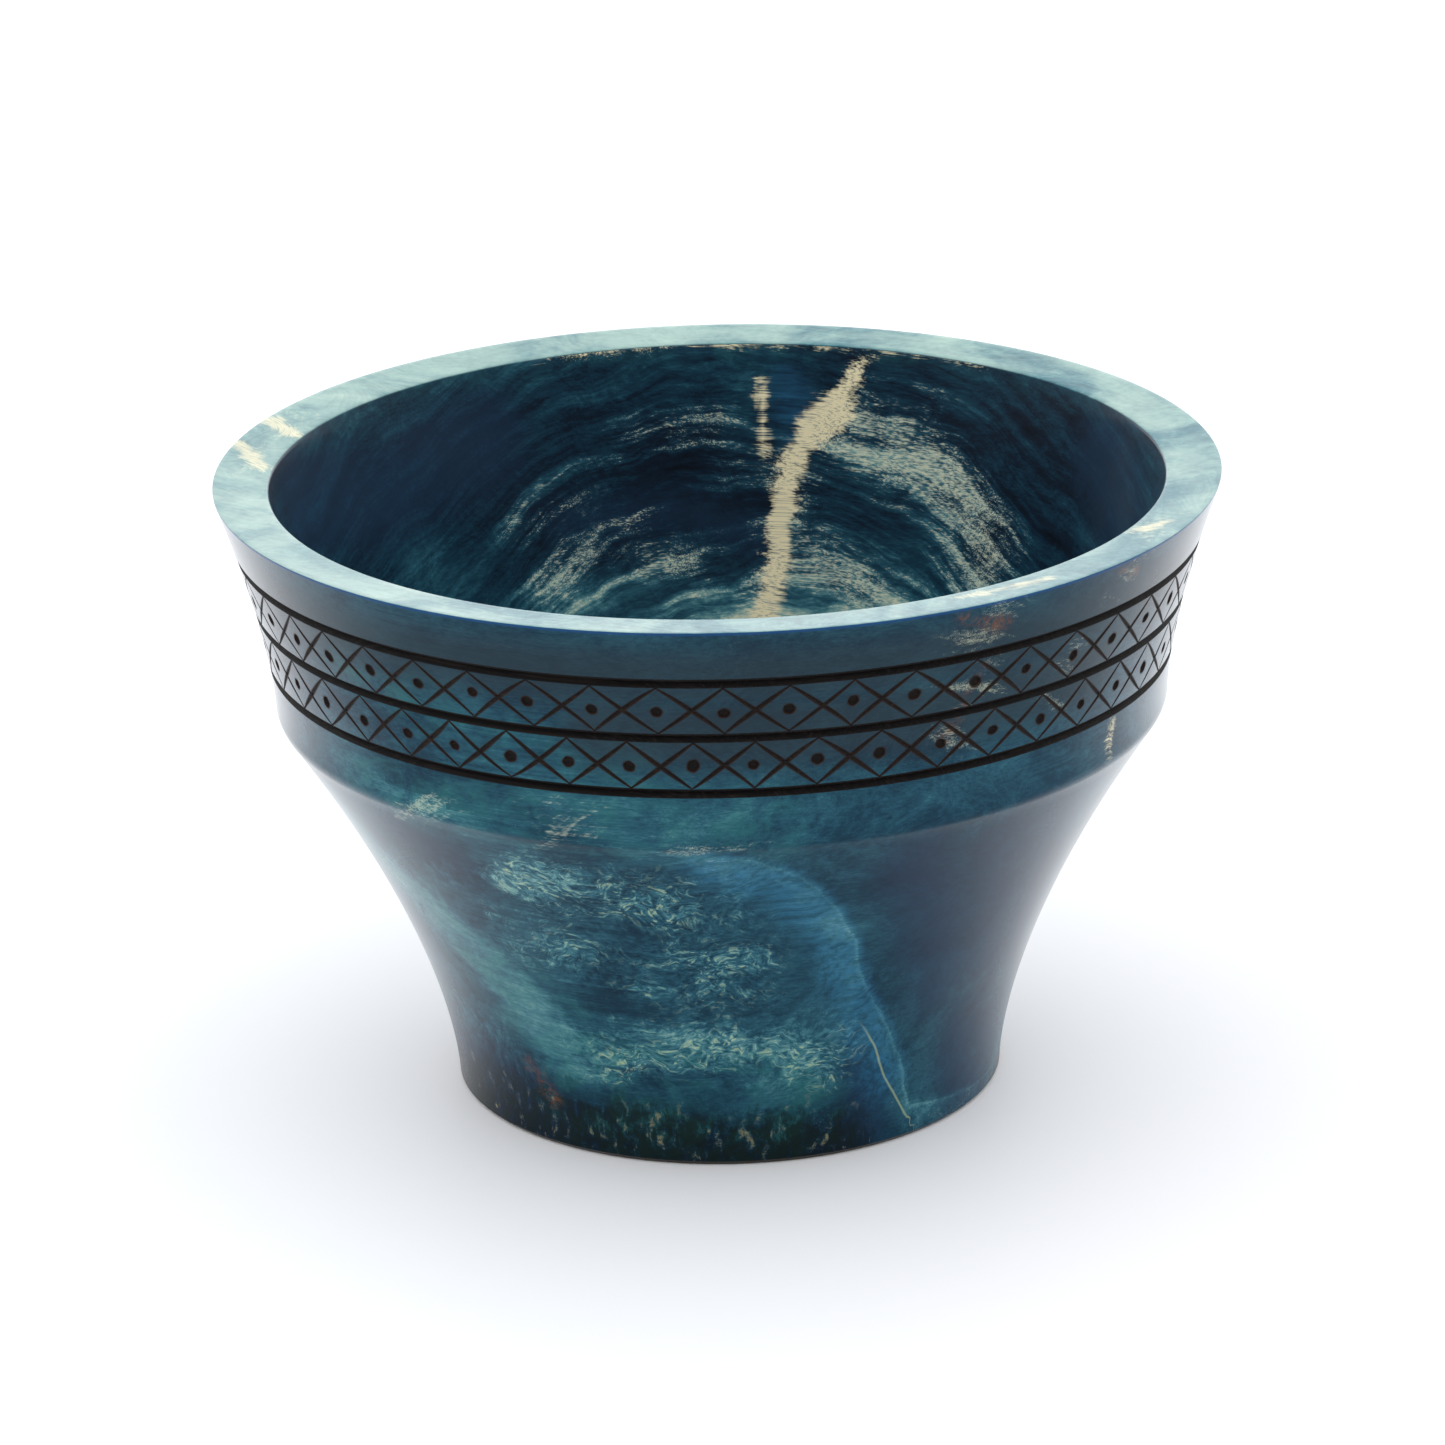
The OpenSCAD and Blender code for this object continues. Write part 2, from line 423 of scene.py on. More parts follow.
def buildBowl():
    columns = bowl["columns"]
    rows = bowl["rows"]
    shell = Shell()
    uniform = np.arange(columns) / columns
    edge = rollArc(np.array([bowl["rollAngle"]]))[0]

    # Underside: a dished hollow, the flat ring it stands on, a small bevel
    standR = bowl["footR"] - bowl["footBevel"] - bowl["standWidth"]
    dishR = (standR ** 2 + bowl["dishDepth"] ** 2) / (2 * bowl["dishDepth"])
    r = np.linspace(2 * mm, standR, rows["dish"])
    dish = np.stack([r, bowl["dishDepth"] - dishR + np.sqrt(dishR ** 2 - r ** 2)], axis=1)
    dish[-1, 1] = 0.0
    stand = np.array([
        [standR + 0.5 * bowl["standWidth"], 0.0],
        [bowl["footR"] - bowl["footBevel"], 0.0],
    ])
    z = np.linspace(bowl["footBevel"], edge[1], rows["sweep"])
    sweep = np.stack([sweepR(z), z], axis=1)
    roll = rollArc(np.linspace(bowl["rollAngle"], 0, rows["roll"]))[1:]
    z = np.linspace(bowl["waistZ"], groove["z"][0] - lipGap, rows["waist"])[1:]
    flare = np.stack([flareR(z), z], axis=1)
    below = np.concatenate([dish, stand, sweep, roll, flare])
    first = shell.addTurned(below, columns)
    shell.addPole(bowl["dishDepth"], first, columns, up=False)
    lastRing = first + (len(below) - 1) * columns

    # Grooves and bands, from the bottom one up; walls run to a ring at each groove's bottom
    ringBelow, turnBelow = lastRing, uniform
    for number, grooveZ in enumerate(groove["z"]):
        bottom = np.array([[flareR(grooveZ) - groove["depth"], grooveZ]])
        bottomFirst = shell.add(turned(bottom, columns), 1.0)
        shell.faces += zipRings(turnBelow, uniform, ringBelow, bottomFirst).tolist()
        if number < 2:
            lowRing, highRing = addBand(shell, (lowerBand, upperBand)[number])
            shell.faces += zipRings(uniform, lowRing[1], bottomFirst, lowRing[0]).tolist()
            ringBelow, turnBelow = highRing
        else:
            ringBelow = bottomFirst

    # Above the top groove: the flare, the rim's face with sanded edges, the inside and floor
    flareTop = bowl["height"] - 1.5 * bowl["edgeRound"]
    z = np.linspace(groove["z"][2] + lipGap, flareTop, rows["flare"])
    flare = np.stack([flareR(z), z], axis=1)
    outer = np.array([bowl["rimR"], bowl["height"]])
    inner = np.array([bowl["rimR"] - bowl["rimWidth"], bowl["height"] - bowl["rimFall"]])
    inside = insideCurve(np.linspace(0, 1, rows["inside"])[:-1])
    outerEdge = cornerArc(flare[-1], outer, inner, bowl["edgeRound"])
    innerEdge = cornerArc(outer, inner, inside[1], 1.6 * bowl["edgeRound"])
    share = np.linspace(0, 1, rows["face"])[1:-1, None]
    face = outerEdge[-1] + (innerEdge[0] - outerEdge[-1]) * share
    above = np.concatenate([flare, outerEdge, face, innerEdge, inside[1:]])
    first = shell.addTurned(above, columns)
    shell.faces += zipRings(uniform, uniform, ringBelow, first).tolist()
    shell.addPole(bowl["floorT"], first + (len(above) - 1) * columns, columns, up=True)
    return makeMesh("turnedBowl", shell)


bowlPiece = buildBowl()
print("bowl:", len(bowlPiece.data.vertices), "points", len(bowlPiece.data.polygons), "faces")


def buildGrooveLining(name, grooveZ):
    # a thin V-shaped ring on both walls of the groove, closed all round
    top = grooveZ + groove["half"]
    low = grooveZ - groove["half"]
    wall = math.atan2(groove["half"], groove["depth"])
    rMid = flareR(grooveZ) - groove["depth"]
    rLow, rTop = flareR(low) - groove["sink"], flareR(top) - groove["sink"]
    section = np.array([
        [rLow, low + groove["inset"]],
        [rLow, low + groove["lip"]],
        [rMid + groove["lining"] / math.sin(wall), grooveZ],
        [rTop, top - groove["lip"]],
        [rTop, top - groove["inset"]],
        [rMid - groove["tuck"], grooveZ],
    ])
    shell = Shell()
    shell.addTurned(section, bowl["columns"], 1.0, closedSection=True)
    return makeMesh(name, shell)


# The char in a line: points round its section as shares of the half width and of the depth
lineWedge = {
    "section": [(-0.72, 0.24), (0.0, 0.52), (0.72, 0.24), (0.0, 1.02)],
    "steps": 18,
    "reach": 0.488,           # how far it runs up and down the band, whose edges are at 0.5
    "lift": 0.012 * mm,       # one set of lines lies this much over the other where they cross
}
# The char in a pit, from underneath and up over its rim: share of the radius, share of the depth
dotCharRings = [(0.02, 1.03), (0.80, 0.80), (0.93, 0.38), (0.86, 0.50), (0.6, 0.62), (0.25, 0.72)]
charCrease = 50.0             # degrees: sharper edges of the char stay crisp


def buildLineChar(name, band):
    # a wedge along every line: its top sags below the band and its foot fills the V
    count = lattice["diamonds"]
    steps = lineWedge["steps"]
    corners = len(lineWedge["section"])
    v = np.linspace(-lineWedge["reach"], lineWedge["reach"], steps)[None, :]
    shell = Shell()
    for family, side, lift in (("P", 1, 0.0), ("Q", -1, lineWedge["lift"])):
        line = (np.arange(count) + 0.5)[:, None]
        half = lineHalf(band, family, line, v)
        deep = half * band["unit"] * lattice["vSlope"]
        rows = []
        for across, down in lineWedge["section"]:
            offset = line + across * half
            u = offset - side * v
            rows.append(bandPoints(band, u, v + 0 * offset, deep * down - lift)[0])
        first = shell.add(np.stack(rows, axis=2), 1.0)
        start = first + np.arange(count) * steps * corners
        end = start + (steps - 1) * corners
        ring = start[:, None, None] + np.arange(steps - 1)[None, :, None] * corners
        k = np.arange(corners)[None, None, :]
        n = (k + 1) % corners
        quads = [ring + k, ring + n, ring + corners + n, ring + corners + k]
        quads = np.stack(np.broadcast_arrays(*quads), axis=3).reshape(-1, 4)
        caps = start[:, None] + np.arange(corners)[None, ::-1]
        last = end[:, None] + np.arange(corners)[None, :]
        if side == 1:
            quads, caps, last = quads[:, ::-1], caps[:, ::-1], last[:, ::-1]
        shell.faces += quads.tolist() + caps.tolist() + last.tolist()
    return makeMesh(name, shell, charCrease)


def buildDotChar(name, band):
    # a crusted disc in the bottom of every pit, with a sagging top, closed underneath
    shell = Shell()
    i = np.arange(lattice["diamonds"])
    a, b = perimeter((0, 1, 2, 3))
    a, b = a[::2], b[::2]
    around = len(a)
    firsts = []
    for share, deep in dotCharRings:
        u, v = dotRing(band, i.astype(float), a, b, share)
        points, _ = bandPoints(band, u, v, np.full_like(u, lattice["dotDepth"] * deep))
        firsts.append(shell.add(points, 1.0))
    cell = i[:, None] * around
    j = np.arange(around)[None, :]
    k = (j + 1) % around
    for low, high in zip(firsts[:-1], firsts[1:]):
        shell.faces += ringQuads(low, high, cell, j, k)
    shell.faces += (firsts[-1] + cell + j).tolist()
    shell.faces += (firsts[0] + cell + j)[:, ::-1].tolist()
    return makeMesh(name, shell, charCrease)


liningNames = ["bottomGrooveLining", "middleGrooveLining", "topGrooveLining"]
grooveLinings = [buildGrooveLining(name, z) for name, z in zip(liningNames, groove["z"])]
bands = {"upper": upperBand, "lower": lowerBand}
lineChars = [buildLineChar(name + "LatticeBurn", band) for name, band in bands.items()]
dotChars = [buildDotChar(name + "DotBurn", band) for name, band in bands.items()]
print("burnt pieces:", len(grooveLinings) + len(lineChars) + len(dotChars))

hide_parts("bowl_body")
for piece, node in zip(grooveLinings, grooveNodes):
    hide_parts(node)
for piece, node in zip(lineChars, ("upper_lattice_char", "lower_lattice_char")):
    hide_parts(node)
for piece, node in zip(dotChars, ("upper_dot_char", "lower_dot_char")):
    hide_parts(node)
for piece in [bowlPiece] + grooveLinings + lineChars + dotChars:
    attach(piece, "root")

# Where the dye, the bare wood and the burl lie, with a few strokes of painted highlight,
# painted reflection and painted shade, each marked below. A stroke is half its width in mm, then
# points: degrees round and mm up. Outside and rim count from the front, inside from the back. On the
# rim the second number is mm in from the outer edge.
figure = {
    "bare": {
        "outside": [(0.5, (57, 80), (57, 73)), (1.2, (198, 113), (193, 90), (189, 66), (180, 44)),
            (0.9, (120, 66), (128, 45), (131, 22))],
        "inside": [(1.3, (20, 110), (18.5, 104)), (3.4, (17.5, 102), (13.5, 97.5)),
            (2.2, (13.5, 97), (11, 90), (9.5, 80), (9.3, 72), (7.5, 64), (3, 48)),
            # The thin bare stroke along the inside's top edge at 113.4 mm is a painted highlight on the
            # rim's inner edge
            (0.2, (-25, 113.4), (40, 113.4)), (0.9, (6.0, 106), (6.8, 99), (7.2, 94))],
        "rim": [(2.2, (-113, 2), (-110, 8)), (1.6, (-104, 1), (-96, 8)), (1.2, (29, 7), (41, 5)),
            (1.2, (62, 8), (66, 4))],
    },
    "mottled": {
        "outside": [(2.0, (32, 112), (29, 107)), (1.6, (32, 101), (29, 96), (28, 86)),
            (1.0, (45, 100), (44, 89)), (2.0, (53, 112), (51, 108)), (1.0, (-46, 74), (-38, 73)),
            (1.3, (-21, 74), (-16, 73)), (0.6, (-6, 71.5), (5, 71.5)), (1.8, (41, 3), (60, 1.5)),
            (7.0, (100, 96), (130, 80), (150, 60))],
        "inside": [(8.0, (20, 98), (34, 91), (46, 79)), (4.0, (-28, 72), (-15, 77), (-4, 72)),
            (6.0, (12, 76), (22, 70), (34, 64)), (4.0, (13, 88), (6, 66)),
            (2.5, (-12, 97), (0, 98)), (1.5, (-30, 83), (-24, 87), (-17, 91)),
            (2.0, (0, 92), (12, 90)), (2.0, (27, 101), (32, 104))],
        "rim": [(3.0, (60, 6), (70, 4)), (3.0, (-116, 4), (-94, 6))],
    },
    "pale": {
        # The first pale stroke, on the left flank, is partly lighter dye and partly a painted reflection
        # of the bright surround
        "outside": [(8.0, (-72, 60), (-58, 48), (-42, 34), (-32, 20)),
            (3.0, (-40, 110), (-15, 110)), (2.5, (42, 4), (62, 3)),
            # The narrow pale stroke from (8, 62) to (16, 49) is a painted highlight on the fibres
            (1.0, (8, 62), (13, 55), (16, 49)), (3.0, (-46, 75), (-34, 73)),
            (3.5, (-22, 79), (-12, 76)), (1.5, (1, 83), (2, 73)), (5.0, (150, 40), (190, 30))],
        "inside": [(5.0, (-28, 70), (10, 64), (36, 66)), (6.0, (22, 96), (40, 84)),
            (3.0, (2, 108), (8, 104))],
    },
    "glow": {
        "outside": [(4.0, (-2, 67), (8, 61), (15, 52), (20, 40), (25, 28), (32, 14))],
        "inside": [(3.0, (10, 104), (12, 98))],
    },
    "teal": {
        # The first teal stroke, on the left flank, is partly lighter dye and partly a painted reflection
        # of the bright surround
        "outside": [(10.0, (-66, 58), (-50, 40), (-30, 22)), (2.5, (46, 28), (62, 25)),
            (5.0, (-50, 98), (-10, 84)), (7.0, (-50, 76), (5, 76)), (12.0, (-30, 14), (10, 14)),
            (12.0, (170, 60), (220, 40))],
        "inside": [(1.0, (-70, 113), (70, 113))],
    },
    "deep": {
        "outside": [(13.0, (44, 60), (50, 46), (56, 28), (60, 12)), (5.0, (24, 16), (30, 6)),
            # The deep stroke from (-80, 12) to (-40, 8) is painted shade: it darkens the lower left
            # flank in place of the floor's shadow seen in the gloss
            (7.0, (-80, 12), (-40, 8)), (5.0, (-50, 66), (-40, 62)),
            (8.0, (26, 63), (33, 50), (42, 32)), (12.0, (100, 40), (140, 60))],
        "inside": [(10.0, (-80, 104), (-55, 96), (-35, 100)), (4.0, (-24, 83), (-4, 83), (6, 78)),
            (2.5, (10, 106), (13, 99)), (10.0, (66, 104), (84, 94))],
    },
    "dull": {
        "outside": [(7.0, (-70, 105), (70, 105)), (8.0, (-14, 94), (50, 94)),
            (5.0, (0, 106), (24, 107)), (12.0, (100, 80), (140, 90))],
    },
    "burl": {
        "outside": [(9.0, (-28, 60), (-16, 58), (-2, 56)), (8.0, (-24, 44), (-8, 43), (2, 42)),
            (8.0, (-26, 22), (-4, 24), (18, 22)), (3.0, (-38, 50), (-36, 42)),
            (12.0, (198, 50), (228, 34), (246, 58)), (9.0, (84, 46), (100, 30))],
    },
    "curly": {
        "outside": [(2.5, (-36, 51), (-34, 50)), (5.0, (-30, 61), (-20, 62)),
            (6.0, (-16, 60), (-6, 58)), (3.0, (-2, 44), (6, 44)), (3.5, (-31, 44), (-22, 46)),
            (3.5, (-19, 34), (-13, 34)), (2.5, (-4, 36), (4, 36)), (3.5, (-22, 20), (-17, 20)),
            (4.5, (-9, 24), (-2, 26)), (4.0, (13, 22), (22, 20)), (5.0, (206, 54), (213, 51)),
            (4.0, (219, 40), (228, 37)), (3.0, (238, 60), (244, 57)), (2.5, (208, 33), (212, 31)),
            (4.0, (88, 42), (98, 32))],
    },
    "roots": {
        "outside": [(7.0, (-56, 4), (-30, 5), (0, 4), (20, 2)),
            (6.0, (80, -3), (110, 2), (150, 4), (230, 5), (304, 3))],
    },
    "flecks": {
        "outside": [(11.0, (-72, 18), (-52, 12)), (4.0, (-46, 58), (-36, 60))],
    },
    "rust": {
        "outside": [(2.2, (-43, 16), (-38, 10)), (1.5, (27, 112), (33, 109)),
            (1.0, (31, 101), (27, 88)), (0.8, (50, 113), (54, 110))],
        "rim": [(0.9, (33, 4), (37, 7))],
    },
}

# Two long lines in the figure, kept as signed distances so that they stay fine
seams = {
    "ridge": [(-10, 71), (3, 69), (10, 64), (16, 55), (20, 47), (22, 40), (24, 35), (30, 26),
              (35, 17), (39, 6), (60, 4)],
    "crack": [(24, 28), (28, 22), (32, 14), (39, 4)],
}


farOut = -12.0                # mm, the value of a field far from every stroke
farOff = 99.0                 # mm, the same for a seam


def pathLegs(path, angle, height, radius):
    # for each leg of a path: mm to its nearest point, and 1 on its right hand or -1 on its left
    for (a0, h0), (a1, h1) in zip(path[:-1], path[1:]):
        x = np.radians((angle - a0 + 180) % 360 - 180) * radius
        y = height - h0
        dx = np.radians(a1 - a0) * radius
        dy = h1 - h0
        t = np.clip((x * dx + y * dy) / (dx ** 2 + dy ** 2), 0, 1)
        yield np.hypot(x - t * dx, y - t * dy), np.sign(x * dy - y * dx)


def strokeField(strokes, angle, height, radius):
    # mm inside the nearest stroke: its half width less the distance to its line
    field = np.full(angle.shape, farOut)
    for half, *path in strokes:
        for away, _ in pathLegs(path, angle, height, radius):
            field = np.maximum(field, half - away)
    return field


def signedField(path, angle, height, radius):
    # mm from the path, positive on its right hand when it is followed from its first point
    nearest = np.full(angle.shape, farOff)
    signed = nearest
    for away, side in pathLegs(path, angle, height, radius):
        signed = np.where(away < nearest, side * away, signed)
        nearest = np.minimum(away, nearest)
    return signed


def paintFigure(piece):
    # one attribute for each kind of figure, and zone: 0 outside, 1 the rim's face, 2 inside
    mesh = piece.data
    flat = np.empty(len(mesh.vertices) * 3)
    mesh.vertices.foreach_get("co", flat)
    x, y, z = (flat.reshape(-1, 3) / mm).T
    r = np.hypot(x, y)
    front = np.degrees(np.arctan2(x, -y))
    back = np.degrees(np.arctan2(x, y))
    section = insideCurve(np.linspace(0, 1, 200)) / mm
    insideR = np.interp(z, section[::-1, 1], section[::-1, 0])
    fromEdge = bowl["rimR"] / mm - r
    face = bowl["height"] / mm - bowl["rimFall"] / bowl["rimWidth"] * fromEdge
    onInside = (z > bowl["floorT"] / mm - 0.01) & (r < insideR + 0.25)
    onRim = (np.abs(z - face) < 0.1) & (r > (bowl["rimR"] - bowl["rimWidth"]) / mm)
    zone = np.where(onRim, 1.0, np.where(onInside, 2.0, 0.0))
    safe = np.maximum(r, 1.0)
    fields = {"zone": zone}
    for name, strokes in figure.items():
        outside = strokeField(strokes.get("outside", []), front, z, safe)
        inside = strokeField(strokes.get("inside", []), back, z, safe)
        rim = strokeField(strokes.get("rim", []), front, fromEdge, safe)
        fields[name] = np.where(onRim, rim, np.where(onInside, inside, outside))
    for name, path in seams.items():
        fields[name] = np.where(zone == 0, signedField(path, front, z, safe), farOff)
    for name, field in fields.items():
        mesh.attributes.new(name, "FLOAT", "POINT").data.foreach_set("value", field)


paintFigure(bowlPiece)
print("figure painted:", ", ".join(figure))


# Short hands for node trees
def addNode(tree, kind, inputs=None, **settings):
    node = tree.nodes.new(kind)
    for key, value in settings.items():
        setattr(node, key, value)
    for key, value in (inputs or {}).items():
        if isinstance(value, bpy.types.NodeSocket):
            tree.links.new(value, node.inputs[key])
        else:
            node.inputs[key].default_value = value
    return node


def calc(tree, operation, a, b=0.0, c=0.0, clamp=False):
    inputs = {0: a, 1: b, 2: c}
    return addNode(tree, "ShaderNodeMath", inputs, operation=operation, use_clamp=clamp).outputs[0]


def times(tree, value, *others):
    for other in others:
        value = calc(tree, "MULTIPLY", value, other)
    return value


def vectorMath(tree, operation, *values):
    inputs = dict(enumerate(values))
    return addNode(tree, "ShaderNodeVectorMath", inputs, operation=operation).outputs[0]


def fade(tree, value, low, high, out0=0.0, out1=1.0):
    inputs = {"Value": value, "From Min": low, "From Max": high, "To Min": out0, "To Max": out1}
    return addNode(tree, "ShaderNodeMapRange", inputs, interpolation_type="SMOOTHSTEP").outputs[0]


def blendColour(tree, factor, a, b):
    a, b = [value if isinstance(value, bpy.types.NodeSocket) else (*value, 1) for value in (a, b)]
    return addNode(tree, "ShaderNodeMix", {0: factor, 6: a, 7: b}, data_type="RGBA").outputs[2]


def colourRamp(tree, value, stops):
    node = addNode(tree, "ShaderNodeValToRGB", {0: value})
    ramp = node.color_ramp
    while len(ramp.elements) < len(stops):
        ramp.elements.new(0.5)
    for element, (position, colour) in zip(ramp.elements, stops):
        element.position = position
        element.color = (*colour, 1)
    return node.outputs[0]


def noiseAt(tree, vector, rates=None, detail=3.0, roughness=0.55, distortion=0.0):
    # rates are the waves in a mm along x, y and z
    if rates:
        vector = vectorMath(tree, "MULTIPLY", vector, rates)
    inputs = {"Vector": vector, "Scale": 1.0, "Detail": detail, "Roughness": roughness}
    return addNode(tree, "ShaderNodeTexNoise", {**inputs, "Distortion": distortion}).outputs[0]


def swing(tree, start, value, middle, amount, *masks):
    # start plus amount times (value - middle), only where the masks are
    part = times(tree, calc(tree, "SUBTRACT", value, middle), *masks)
    return calc(tree, "MULTIPLY_ADD", part, amount, start)


def readField(tree, name):
    return addNode(tree, "ShaderNodeAttribute", attribute_name=name).outputs["Fac"]


def newGroup(name, inputs, outputs):
    group = bpy.data.node_groups.new(name, "ShaderNodeTree")
    for label, kind, value in inputs:
        socket = group.interface.new_socket(label, in_out="INPUT", socket_type=kind)
        if value is not None:
            socket.default_value = value
    for label, kind in outputs:
        group.interface.new_socket(label, in_out="OUTPUT", socket_type=kind)
    return group, group.nodes.new("NodeGroupInput"), group.nodes.new("NodeGroupOutput")


# Fibres run along x and bend slowly. Noises are given as rates, detail and roughness
fibre = {
    "bendNoise": ((0.03, 0.03, 0.03), 2.0),
    "bend": (0.9, 0.03),      # radians: how much they bend, and from where
    "streakNoise": (None, 4.0, 0.6),
}


def buildFibreGroup():
    # streaks that run along the wood's fibres; Long and Fine are their sizes in mm
    group, source, sink = newGroup("woodFibre", [
        ("Vector", "NodeSocketVector", None),
        ("Long", "NodeSocketFloat", 20.0),
        ("Fine", "NodeSocketFloat", 1.0),
    ], [("Value", "NodeSocketFloat")])
    bend = noiseAt(group, source.outputs["Vector"], *fibre["bendNoise"])
    turn = calc(group, "MULTIPLY_ADD", bend, *fibre["bend"])
    inputs = {"Vector": source.outputs["Vector"], "Angle": turn}
    bent = addNode(group, "ShaderNodeVectorRotate", inputs, rotation_type="Z_AXIS").outputs[0]
    along = calc(group, "DIVIDE", 1.0, source.outputs["Long"])
    across = calc(group, "DIVIDE", 1.0, source.outputs["Fine"])
    rates = addNode(group, "ShaderNodeCombineXYZ", {0: along, 1: across, 2: across}).outputs[0]
    stretched = vectorMath(group, "MULTIPLY", bent, rates)
    streaks = noiseAt(group, stretched, *fibre["streakNoise"])
    group.links.new(streaks, sink.inputs["Value"])
    return group


fibreGroup = buildFibreGroup()


def fibres(tree, vector, long, fine):
    node = addNode(tree, "ShaderNodeGroup", node_tree=fibreGroup)
    tree.links.new(vector, node.inputs["Vector"])
    node.inputs["Long"].default_value = long
    node.inputs["Fine"].default_value = fine
    return node.outputs["Value"]


def positionInMm(tree):
    where = addNode(tree, "ShaderNodeTexCoord").outputs["Object"]
    return vectorMath(tree, "MULTIPLY", where, (1 / mm, 1 / mm, 1 / mm))


def newMaterial(name, specular):
    material = bpy.data.materials.new(name)
    material.use_nodes = True
    shader = material.node_tree.nodes["Principled BSDF"]
    shader.inputs["Specular IOR Level"].default_value = specular
    return material, material.node_tree, shader


